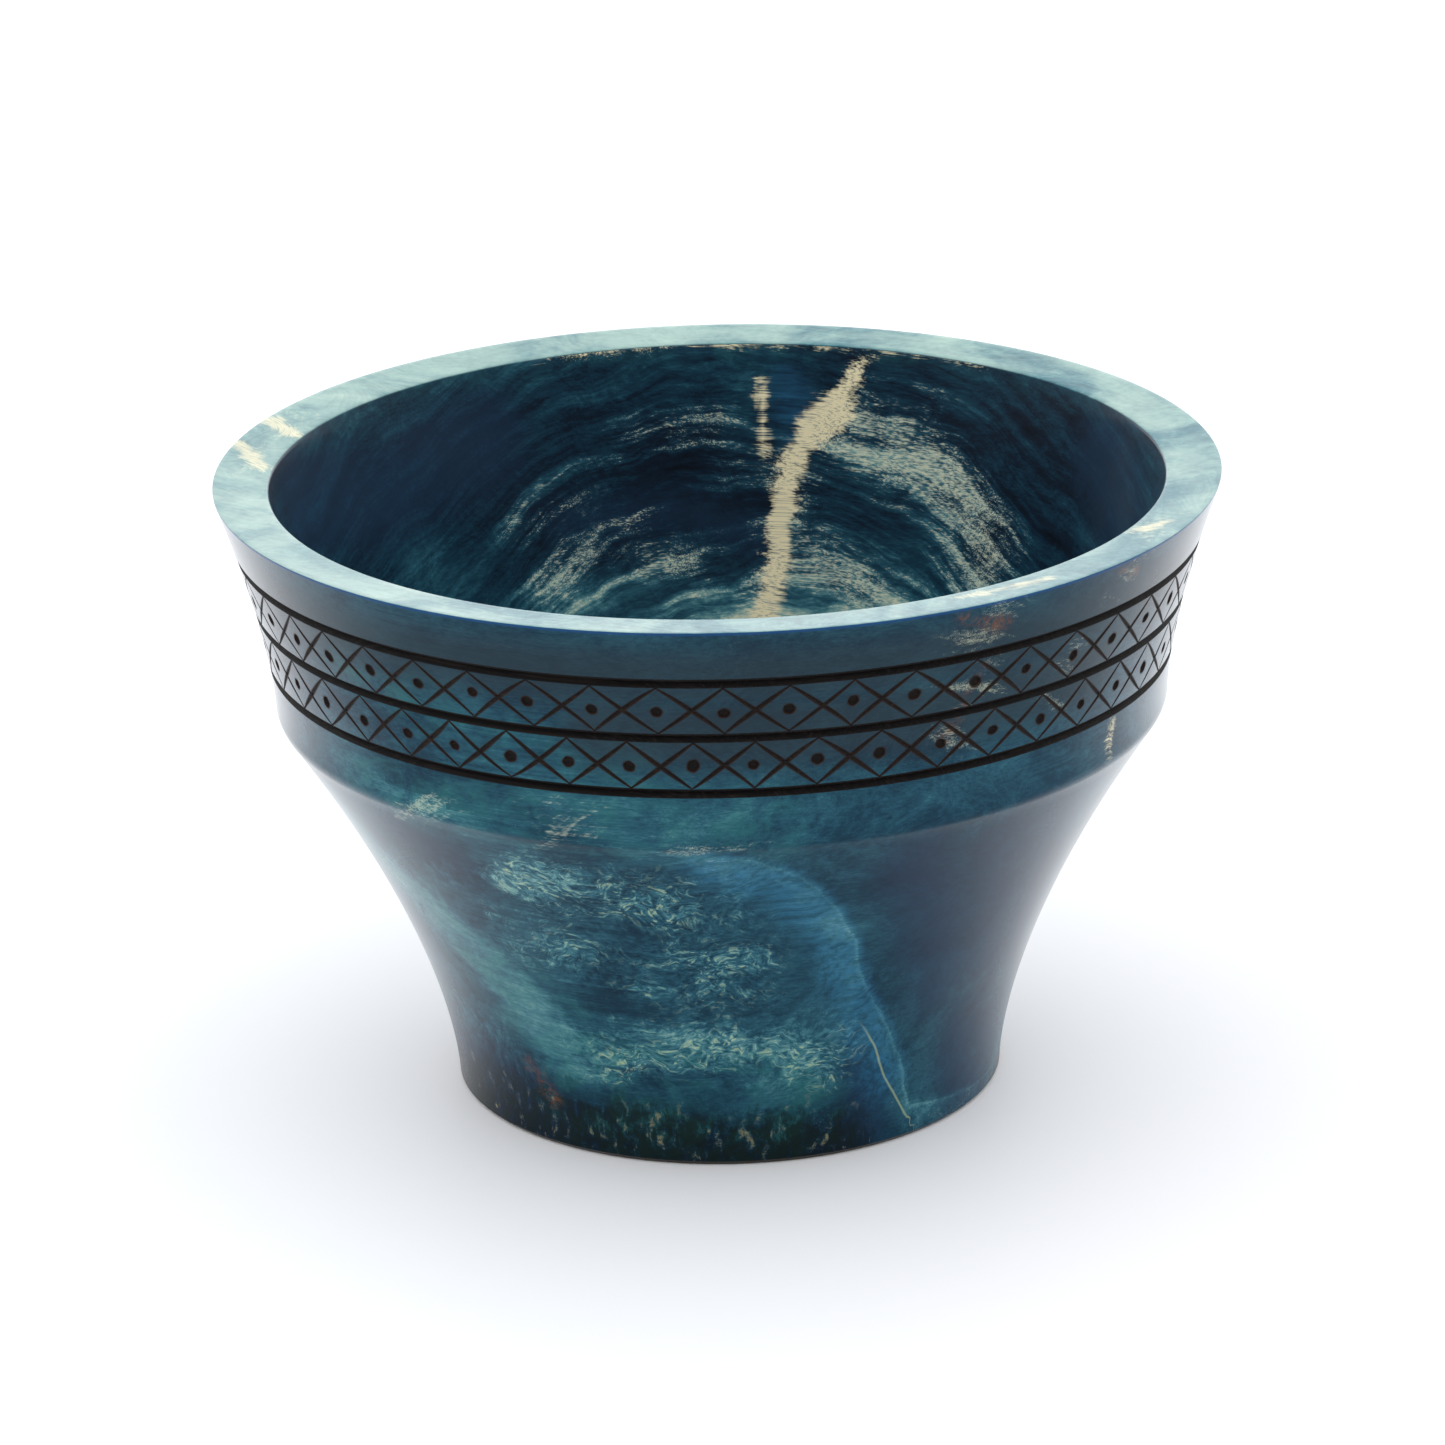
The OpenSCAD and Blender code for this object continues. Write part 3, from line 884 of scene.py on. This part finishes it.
dyedWood = {
    # Dye strength over the wood, dark to bare, as linear colours
    "ramp": [
        (0.00, (0.0010, 0.0030, 0.0070)),
        (0.18, (0.0022, 0.0110, 0.0250)),
        (0.36, (0.0058, 0.0370, 0.0640)),
        (0.52, (0.0180, 0.0860, 0.1240)),
        (0.66, (0.0580, 0.1850, 0.2200)),
        (0.80, (0.1600, 0.3300, 0.3250)),
        (1.00, (0.4400, 0.5300, 0.4100)),
    ],
    # Colours laid over it, lowest first, and how strongly each covers
    "paints": {
        "violet": ((0.014, 0.050, 0.105), 0.40),
        "green": ((0.018, 0.130, 0.125), 1.0),
        "brightBlue": ((0.025, 0.150, 0.290), 1.0),
        "dull": ((0.018, 0.032, 0.042), 0.75),
        "curlCream": ((0.42, 0.50, 0.27), 0.62),
        "rootDark": ((0.004, 0.012, 0.012), 0.85),
        "rootTip": ((0.24, 0.21, 0.10), 0.80),
        "rimPale": ((0.56, 0.68, 0.56), 1.0),
        "mottled": ((0.66, 0.68, 0.50), 1.0),
        "bare": ((0.88, 0.78, 0.50), 1.0),
        "crack": ((0.42, 0.50, 0.27), 0.45),
        "rust": ((0.17, 0.060, 0.025), 0.55),
        "rimEdge": ((0.010, 0.060, 0.200), 0.75),
        # footEdge paints the foot's bevel dark brown: painted shade where the bowl meets the floor
        "footEdge": ((0.030, 0.018, 0.008), 0.8),
        "scorch": ((0.022, 0.010, 0.005), 1.0),
    },
    "bareShade": (0.42, 0.42, 0.33),    # bare wood between its lighter fibres
    # Dye strength before anything is drawn in it
    "toneOutside": 0.41,
    "toneInside": 0.30,
    "toneRim": 0.70,
    # Growth rings: their middle, how flat, how far noise pushes them, the gap between them, in mm
    "pith": (5.0, 0.0, 31.0),
    "ringFlat": (0.85, 0.0, 1.0),
    "ringPush": 14.0,
    "ringGap": 3.2,
    "ringDrift": (0.02, 0.03),          # how fast their noise changes along y and x
    "ringNoise": (None, 4.0, 0.7),
    # Fibres: length and width in mm
    "fibres": {"longFibre": (20.0, 1.3), "dashes": (3.2, 0.28), "specks": (1.7, 0.22)},
    # Noises: waves in a mm along x, y and z, then detail, roughness and distortion
    "noises": {
        "grain": ((0.8, 0.8, 2.4), 3.0, 0.6, 0.0),
        "cloud": ((0.034, 0.034, 0.05), 4.0, 0.55, 0.9),
        "patch": ((0.11, 0.11, 0.13), 4.0, 0.6, 1.2),
        "push": ((0.040, 0.025, 0.040), 3.0, 0.45, 0.0),
        "lines": ((0.15, 0.15, 0.15), 3.0, 0.55, 0.0),
    },
    # Noises in the burl, where the place they are read at is itself pulled about
    "burlNoises": {
        "curls": ((0.52, 0.52, 0.95), 5.0, 0.62, 1.1),
        "clumps": ((0.095, 0.095, 0.13), 3.0, 0.55, 0.0),
    },
    "tangles": {"slow": 0.085, "quick": 0.30},     # waves in a mm of the noises that pull
    "pulls": {"slow": 12.0, "quick": 2.2, "roots": 2.5},          # how far they pull, mm
    "eyeRates": (0.50, 0.50, 0.95),
    "rootNoise": ((0.58, 0.58, 0.20), 5.0, 0.68),
    # Placed marks: mm outside a stroke where it starts, mm inside where it is full, raggedness
    "marks": {
        "bare": (-2.4, 2.2, 0.50),
        "pale": (-3.0, 6.0, 0.5),
        "glow": (-4.0, 5.0, 0.4),
        "teal": (-4.0, 7.0, 0.5),
        "deep": (-4.0, 7.0, 0.5),
        "dull": (-4.0, 6.0, 0.5),
        "burl": (-3.0, 5.0, 1.0),
        "roots": (-4.0, 5.0, 1.3),
        "flecks": (-3.0, 4.0, 0.8),
        "rust": (-1.0, 2.0, 0.5),
    },
    # How much each noise sways what is named: mm for edges and seams, else dye strength
    "sways": {
        "ragged": {"patch": 9.0, "longFibre": 7.0},
        "bare": {"dashes": 1.5},
        "mottledEdge": {"rings": 35.0},
        "mottled": {"specks": 3.0, "grain": 2.0},
        "curly": {"clumps": 26.0, "patch": 14.0},
        "ridge": {"lines": 2.2},
        "crack": {"lines": 0.9},
        "tone": {"cloud": 0.42, "patch": 0.22, "longFibre": 0.26, "dashes": 0.22, "grain": 0.22},
        "eyes": {"curls": 1.5},
        "rootTips": {"grain": 0.5},
        "scorch": {"dashes": 0.5},
        "relief": {"longFibre": 0.6},
    },
    # How much each mark lightens the wood, or darkens it; the lift low inside the bowl is painted light
    "shifts": {
        "pale": 0.16, "glow": 0.05, "teal": 0.05, "deep": -0.19, "ridge": 0.09, "ridgeLine": 0.12,
        "roots": -0.31, "mottledGround": 0.20, "paintedInsideLight": 0.18,
    },
    # What swings, about which middle, by how much, and where
    "swings": [
        ("rings", 0.5, 0.85, "inside"),
        ("rings", 0.5, 0.18, "outside"),
        ("clump", 0.15, 0.10, "burl"),
        ("eyes", 0.0, 0.58, "burl"),
        ("rootStreak", 0.5, 1.1, "roots"),
        ("rootStreak", 0.5, 0.9, "flecks"),
    ],
    # Straight shares: what a value is multiplied by, then what is added
    "shares": {
        "mottled": (0.44, 0.40),        # mottling is stronger inside
        "bare": (0.34, 0.60),           # and so is bare wood
        "eyes": (0.45, 0.55),
        "eyeScales": (0.25, 0.0),
        "coat": (-0.60, 1.0),           # the oil is thinner on the rim and inside
        "roughness": (0.25, 0.36),
    },
    # Soft steps: where each starts, where it is full, then its two ends if not 0 and 1
    "steps": {
        "bare": (0.30, 0.90),
        "bareLight": (0.34, 0.52),
        "mottledGround": (-5.0, 9.0),
        "mottled": (0.45, 1.45),
        "mottledEdge": (0.05, 0.60),
        "curly": (-5.0, 4.5),
        "clump": (0.30, 0.60, 0.55, 1.0),
        "eyes": (0.15, 0.60),
        "creamTips": (0.53, 0.68),
        "ridgeInner": (0.3, 2.4, 1.0, 0.0),
        "ridgeFoot": (14.0, 8.0),
        "ridgeRise": (-7.0, 0.0),
        "ridgeFall": (-0.2, 1.2, 1.0, 0.0),
        "lineRise": (-0.9, -0.1),
        "lineFall": (-0.1, 0.3, 1.0, 0.0),
        "lineFainter": (60.0, 40.0, 0.55, 1.0),
        "lineBroken": (0.40, 0.55, 0.4, 1.0),
        "crack": (0.04, 0.34, 1.0, 0.0),
        "crackTop": (29.0, 22.0),
        "paintedInsideLight": (88.0, 62.0),
        "green": (0.35, 0.7, 0.0, 0.45),
        "brightBlue": (0.35, 0.65, 0.15, 0.55),
        "rootDark": (0.58, 0.44),
        "rootTip": (0.56, 0.68),
        "rootPatch": (0.40, 0.60),
        "rimPale": (0.35, 0.65, 0.0, 0.36),
        "rust": (0.40, 0.60),
        "rimEdge": (113.2, 113.75),
        "footEdge": (0.35, 1.1, 1.0, 0.0),
        "scorch": (0.20, 1.0, 0.0, 0.9),
        "glossFacing": (0.37, 0.84, 0.04, 1.0),
        "glossBurnt": (0.2, 0.9, 1.0, 0.25),
        "glossFoot": (2.0, 34.0, 0.50, 1.0),
    },
    "specular": 0.06,
    "coatRoughness": 0.16,
    "coatIor": 1.75,
    "bump": {"Strength": 0.10, "Distance": 0.2 * mm},
}


def buildDyedWood():
    material, tree, shader = newMaterial("dyedBurl", dyedWood["specular"])
    where = positionInMm(tree)
    x, y, height = addNode(tree, "ShaderNodeSeparateXYZ", {0: where}).outputs
    zone = readField(tree, "zone")
    inside = calc(tree, "SUBTRACT", zone, 1.0, clamp=True)
    outside = calc(tree, "SUBTRACT", 1.0, zone, clamp=True)
    rim = calc(tree, "SUBTRACT", 1.0, calc(tree, "ADD", inside, outside), clamp=True)
    notOutside = calc(tree, "SUBTRACT", 1.0, outside)
    noise = {}
    mark = {"inside": inside, "outside": outside}

    def step(value, name):
        return fade(tree, value, *dyedWood["steps"][name])

    def share(value, name):
        return calc(tree, "MULTIPLY_ADD", value, *dyedWood["shares"][name])

    def sway(start, name):
        # noises swing about a half
        for source, amount in dyedWood["sways"][name].items():
            start = swing(tree, start, noise[source], 0.5, amount)
        return start

    def pull(start, tangle, name):
        return vectorMath(tree, "MULTIPLY_ADD", tangle, (dyedWood["pulls"][name],) * 3, start)

    # Fibres, coarse to fine, and clouds of stronger and weaker dye
    for name, (long, fine) in dyedWood["fibres"].items():
        noise[name] = fibres(tree, where, long, fine)
    for name, settings in dyedWood["noises"].items():
        noise[name] = noiseAt(tree, where, *settings)

    # Curly burl figure: the position is pulled about twice, then read in flat scales
    tangle = {}
    for name, rate in dyedWood["tangles"].items():
        inputs = {"Vector": where, "Scale": rate, "Detail": 2.0}
        tangle[name] = addNode(tree, "ShaderNodeTexNoise", inputs).outputs["Color"]
    pulled = pull(pull(where, tangle["slow"], "slow"), tangle["quick"], "quick")
    for name, settings in dyedWood["burlNoises"].items():
        noise[name] = noiseAt(tree, pulled, *settings)
    inputs = {"Vector": vectorMath(tree, "MULTIPLY", pulled, dyedWood["eyeRates"]), "Scale": 1.0}
    eyes = addNode(tree, "ShaderNodeTexVoronoi", inputs).outputs["Distance"]
    rootPlace = pull(where, tangle["quick"], "roots")
    rootStreak = noiseAt(tree, rootPlace, *dyedWood["rootNoise"])
    noise["rootStreak"] = rootStreak

    # Growth rings round the pith, pushed about by slow noise
    fromPith = vectorMath(tree, "SUBTRACT", where, dyedWood["pith"])
    flatPith = vectorMath(tree, "MULTIPLY", fromPith, dyedWood["ringFlat"])
    length = addNode(tree, "ShaderNodeVectorMath", {0: flatPith}, operation="LENGTH")
    reach = calc(tree, "MULTIPLY_ADD", noise["push"], dyedWood["ringPush"], length.outputs["Value"])
    ringPlace = addNode(tree, "ShaderNodeCombineXYZ", {
        0: calc(tree, "DIVIDE", reach, dyedWood["ringGap"]),
        1: calc(tree, "MULTIPLY", y, dyedWood["ringDrift"][0]),
        2: calc(tree, "MULTIPLY", x, dyedWood["ringDrift"][1]),
    }).outputs[0]
    noise["rings"] = noiseAt(tree, ringPlace, *dyedWood["ringNoise"])

    # Placed marks: mm inside a stroke, made ragged and then soft
    ragged = sway(0.0, "ragged")
    for name, (low, high, raggedness) in dyedWood["marks"].items():
        inStroke = calc(tree, "MULTIPLY_ADD", ragged, raggedness, readField(tree, name))
        mark[name] = fade(tree, inStroke, low, high)
    bare = step(sway(mark["bare"], "bare"), "bare")
    edge = sway(calc(tree, "ADD", readField(tree, "mottled"), ragged), "mottledEdge")
    ground = step(edge, "mottledGround")
    mottled = step(sway(ground, "mottled"), "mottled")
    mottled = times(tree, mottled, step(ground, "mottledEdge"), share(inside, "mottled"))
    mark["mottledGround"] = times(tree, ground, inside)
    # Painted light: the inside is made lighter below a height, a painted highlight on its lower part
    mark["paintedInsideLight"] = times(tree, step(height, "paintedInsideLight"), inside)
    curly = step(sway(readField(tree, "curly"), "curly"), "curly")

    # The ridge is crisp on its outer side and soft on its inner one; the crack is a fine line
    ridgeSide = calc(tree, "SUBTRACT", sway(0.0, "ridge"), readField(tree, "ridge"))
    within = calc(tree, "MAXIMUM", step(ridgeSide, "ridgeInner"), step(height, "ridgeFoot"))
    within = calc(tree, "MAXIMUM", within, notOutside)
    for name in ("glow", "pale"):
        mark[name] = times(tree, mark[name], within)
    mark["ridge"] = times(tree, step(ridgeSide, "ridgeRise"), step(ridgeSide, "ridgeFall"))
    mark["ridgeLine"] = times(tree, step(ridgeSide, "lineRise"), step(ridgeSide, "lineFall"),
                              step(height, "lineFainter"), step(noise["dashes"], "lineBroken"))
    crackSide = calc(tree, "ADD", readField(tree, "crack"), sway(0.0, "crack"))
    crack = times(tree, step(calc(tree, "ABSOLUTE", crackSide), "crack"), step(height, "crackTop"))

    # Burl eyes: flat scales and curls, in clumps
    clump = times(tree, step(noise["curls"], "clump"), curly)
    eyes = sway(share(step(eyes, "eyes"), "eyeScales"), "eyes")
    noise["clump"] = clump
    noise["eyes"] = times(tree, eyes, share(clump, "eyes"))

    # Dye strength
    tone = times(tree, outside, dyedWood["toneOutside"])
    tone = calc(tree, "MULTIPLY_ADD", inside, dyedWood["toneInside"], tone)
    tone = calc(tree, "MULTIPLY_ADD", rim, dyedWood["toneRim"], tone)
    tone = sway(tone, "tone")
    for name, amount in dyedWood["shifts"].items():
        tone = calc(tree, "MULTIPLY_ADD", mark[name], amount, tone)
    for name, middle, amount, place in dyedWood["swings"]:
        tone = swing(tree, tone, noise[name], middle, amount, mark[place])
    colour = colourRamp(tree, tone, dyedWood["ramp"])

    # Where each colour goes: the product of these
    burn = readField(tree, "burn")
    rootTips = step(sway(noise["patch"], "rootTips"), "rootPatch")
    places = {
        "violet": [mark["deep"]],
        "green": [mark["teal"], step(noise["patch"], "green")],
        "brightBlue": [mark["glow"], step(noise["longFibre"], "brightBlue")],
        "dull": [mark["dull"]],
        "curlCream": [step(noise["curls"], "creamTips"), clump, mark["burl"]],
        "rootDark": [step(rootStreak, "rootDark"), mark["roots"]],
        "rootTip": [step(rootStreak, "rootTip"), mark["roots"], rootTips],
        "rimPale": [rim, step(noise["cloud"], "rimPale")],
        "mottled": [mottled],
        "bare": [bare, share(inside, "bare")],
        "crack": [crack],
        "rust": [mark["rust"], step(noise["curls"], "rust")],
        "rimEdge": [step(height, "rimEdge"), outside],
        # The foot's bevel is darkened here as painted shade
        "footEdge": [step(height, "footEdge"), outside],
        "scorch": [step(sway(burn, "scorch"), "scorch")],
    }
    bareFibre = step(noise["dashes"], "bareLight")
    bareColour = blendColour(tree, bareFibre, dyedWood["bareShade"], dyedWood["paints"]["bare"][0])
    for name, (paint, strength) in dyedWood["paints"].items():
        if name == "bare":
            paint = bareColour
        colour = blendColour(tree, times(tree, *places[name], strength), colour, paint)
    tree.links.new(colour, shader.inputs["Base Color"])
    tree.links.new(share(noise["dashes"], "roughness"), shader.inputs["Roughness"])

    # The oil's gloss: faint face on, strong along the flanks, gone where the wood is burnt
    facing = addNode(tree, "ShaderNodeLayerWeight", {"Blend": 0.5}).outputs["Facing"]
    gloss = times(tree, step(facing, "glossFacing"), step(burn, "glossBurnt"),
                  share(notOutside, "coat"), step(height, "glossFoot"))
    tree.links.new(gloss, shader.inputs["Coat Weight"])
    shader.inputs["Coat Roughness"].default_value = dyedWood["coatRoughness"]
    shader.inputs["Coat IOR"].default_value = dyedWood["coatIor"]
    relief = sway(noise["dashes"], "relief")
    bump = addNode(tree, "ShaderNodeBump", {"Height": relief, **dyedWood["bump"]})
    tree.links.new(bump.outputs[0], shader.inputs["Normal"])
    return material


# Burnt crust: the noises of its grit and of the drift of its ash, and where the ash starts
burntCrust = {
    "gritNoise": ((2.6, 2.6, 2.6), 4.0, 0.7),
    "driftNoise": ((0.25, 0.25, 0.6), 3.0),
    "ashFrom": 0.72,
    "ashSoft": 0.16,
    "roughness": (0.35, 0.5),
}


def buildCharGroup():
    # black with brown-grey ash where the crust is thin
    group, source, sink = newGroup("burntCrust", [
        ("Vector", "NodeSocketVector", None),
        ("Ash", "NodeSocketFloat", 0.2),
        ("Char Colour", "NodeSocketColor", (0.004, 0.003, 0.003, 1)),
        ("Ash Colour", "NodeSocketColor", (0.07, 0.045, 0.03, 1)),
    ], [("Color", "NodeSocketColor"), ("Roughness", "NodeSocketFloat"), ("Height", "NodeSocketFloat")])
    grit = noiseAt(group, source.outputs["Vector"], *burntCrust["gritNoise"])
    drift = noiseAt(group, source.outputs["Vector"], *burntCrust["driftNoise"])
    mixed = calc(group, "ADD", times(group, grit, 0.5), times(group, drift, 0.5))
    start = calc(group, "SUBTRACT", burntCrust["ashFrom"], source.outputs["Ash"])
    end = calc(group, "ADD", start, burntCrust["ashSoft"])
    inputs = {"Value": mixed, "From Min": start, "From Max": end}
    thin = addNode(group, "ShaderNodeMapRange", inputs).outputs[0]
    char, ash = source.outputs["Char Colour"], source.outputs["Ash Colour"]
    roughness = calc(group, "MULTIPLY_ADD", grit, *burntCrust["roughness"])
    group.links.new(blendColour(group, thin, char, ash), sink.inputs["Color"])
    group.links.new(roughness, sink.inputs["Roughness"])
    group.links.new(grit, sink.inputs["Height"])
    return group


charGroup = buildCharGroup()

# How each kind of burn looks: how much ash shows through, and its colour
burns = {
    "grooveChar": {"ash": 0.10, "ashColour": (0.045, 0.035, 0.030), "bump": 0.25},
    "lineChar": {"ash": 0.12, "ashColour": (0.060, 0.028, 0.014), "bump": 0.30},
    "dotChar": {"ash": 0.12, "ashColour": (0.050, 0.020, 0.012), "bump": 0.35},
}
# What they share: gloss, brown streaks (length and width in mm, soft step), depth of the grit
crust = {
    "specular": 0.15,
    "streak": (12.0, 0.5),
    "streakStep": (0.45, 0.75, 0.0, 0.35),
    "gritDepth": 0.1 * mm,
}


def buildChar(name):
    burn = burns[name]
    material, tree, shader = newMaterial(name, crust["specular"])
    where = positionInMm(tree)
    char = addNode(tree, "ShaderNodeGroup", node_tree=charGroup)
    tree.links.new(where, char.inputs["Vector"])
    char.inputs["Ash"].default_value = burn["ash"]
    char.inputs["Ash Colour"].default_value = (*burn["ashColour"], 1)
    streak = fade(tree, fibres(tree, where, *crust["streak"]), *crust["streakStep"])
    colour = blendColour(tree, streak, char.outputs["Color"], burn["ashColour"])
    tree.links.new(colour, shader.inputs["Base Color"])
    tree.links.new(char.outputs["Roughness"], shader.inputs["Roughness"])
    inputs = {"Height": char.outputs["Height"], "Strength": burn["bump"], "Distance": crust["gritDepth"]}
    bump = addNode(tree, "ShaderNodeBump", inputs)
    tree.links.new(bump.outputs[0], shader.inputs["Normal"])
    return material


bowlPiece.data.materials.append(buildDyedWood())
for pieces, name in ((grooveLinings, "grooveChar"), (lineChars, "lineChar"), (dotChars, "dotChar")):
    char = buildChar(name)
    for piece in pieces:
        piece.data.materials.append(char)
print("materials ready")


# Studio: a pale floor, a bright surround that is dim behind the camera
studio = {
    "floorSize": 8.0,
    "floorColour": (0.90, 0.905, 0.925, 1),
    "floorRoughness": 0.6,
    "floorSpecular": 0.2,
    "lightColour": (0.985, 0.99, 1.0, 1),
    "cameraSide": 0.50,
    "flankLight": 2.5,
    "topLight": 1.36,
    "sideFade": (-0.95, 0.35),      # from behind the camera to past the flanks
    "topFade": (0.20, 0.60),        # from low to high in the surround
}
floorMesh = bpy.data.meshes.new("studioFloor")
half = studio["floorSize"] / 2
corners = [(-half, -half, 0), (half, -half, 0), (half, half, 0), (-half, half, 0)]
floorMesh.from_pydata(corners, [], [(0, 1, 2, 3)])
floor = bpy.data.objects.new("studioFloor", floorMesh)
bpy.context.scene.collection.objects.link(floor)
floorPaint, _, floorShader = newMaterial("studioFloorPaint", studio["floorSpecular"])
floorShader.inputs["Base Color"].default_value = studio["floorColour"]
floorShader.inputs["Roughness"].default_value = studio["floorRoughness"]
floorMesh.materials.append(floorPaint)

world = bpy.data.worlds.new("studioSurround")
bpy.context.scene.world = world
world.use_nodes = True
sky = world.node_tree
surround = sky.nodes["Background"]
aim = addNode(sky, "ShaderNodeTexCoord").outputs["Generated"]
axes = addNode(sky, "ShaderNodeSeparateXYZ", {0: aim}).outputs
side = fade(sky, axes["Y"], *studio["sideFade"], studio["cameraSide"], studio["flankLight"])
top = fade(sky, axes["Z"], *studio["topFade"])
light = addNode(sky, "ShaderNodeMix", {"Factor": top, "A": side, "B": studio["topLight"]})
sky.links.new(light.outputs["Result"], surround.inputs["Strength"])
surround.inputs["Color"].default_value = studio["lightColour"]

# Camera: stands off the rim's middle, looks slightly below it, and leans a little
lens = {
    "distance": 1.26,
    "elevation": 17.756,
    "lookDown": 2.066,
    "lean": -1.288,
    "focal": 175.8,
    "sensor": 36.0,
    "farClip": 50.0,
}
camera = bpy.data.objects.new("studioCamera", bpy.data.cameras.new("studioCamera"))
bpy.context.scene.collection.objects.link(camera)
rise = math.radians(lens["elevation"])
away = Vector((0, -math.cos(rise), math.sin(rise))) * lens["distance"]
tip = math.radians(90 - lens["elevation"] - lens["lookDown"])
camera.matrix_world = (Matrix.Translation(Vector((0, 0, bowl["height"])) + away)
                       @ Matrix.Rotation(tip, 4, "X")
                       @ Matrix.Rotation(math.radians(lens["lean"]), 4, "Z"))
camera.data.lens = lens["focal"]
camera.data.sensor_width = lens["sensor"]
camera.data.clip_end = lens["farClip"]
camera.data.dof.use_dof = False
bpy.context.scene.camera = camera
view = bpy.context.scene.view_settings
view.view_transform = "Standard"
view.look = "None"
view.exposure = 0.0
view.gamma = 1.0
print("studio ready")
